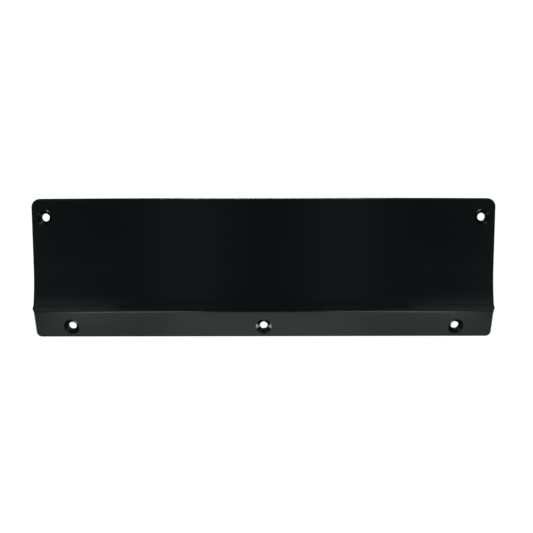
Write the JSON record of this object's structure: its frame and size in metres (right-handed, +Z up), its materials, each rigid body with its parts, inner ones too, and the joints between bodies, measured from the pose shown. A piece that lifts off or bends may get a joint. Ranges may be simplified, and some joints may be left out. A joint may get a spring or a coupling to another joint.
{
  "type": "kick plate",
  "caption": "Formed sheet metal kick plate, satin black: a wide, gently dished upper panel above a narrow flange that turns back, with countersunk screw holes.",
  "frame": {"origin": "centre of the middle screw hole of the lower flange, at the flange's back face", "axes": "+X along the plate, -Y to the front face, +Z up, from the flange to the upper panel"},
  "size_m": [0.3014, 0.0129, 0.0911],
  "materials": {
    "satin_black_coat": "satin powder coat"
  },
  "bodies": {
    "root": {"kick_plate": "satin_black_coat"}
  },
  "joints": []
}
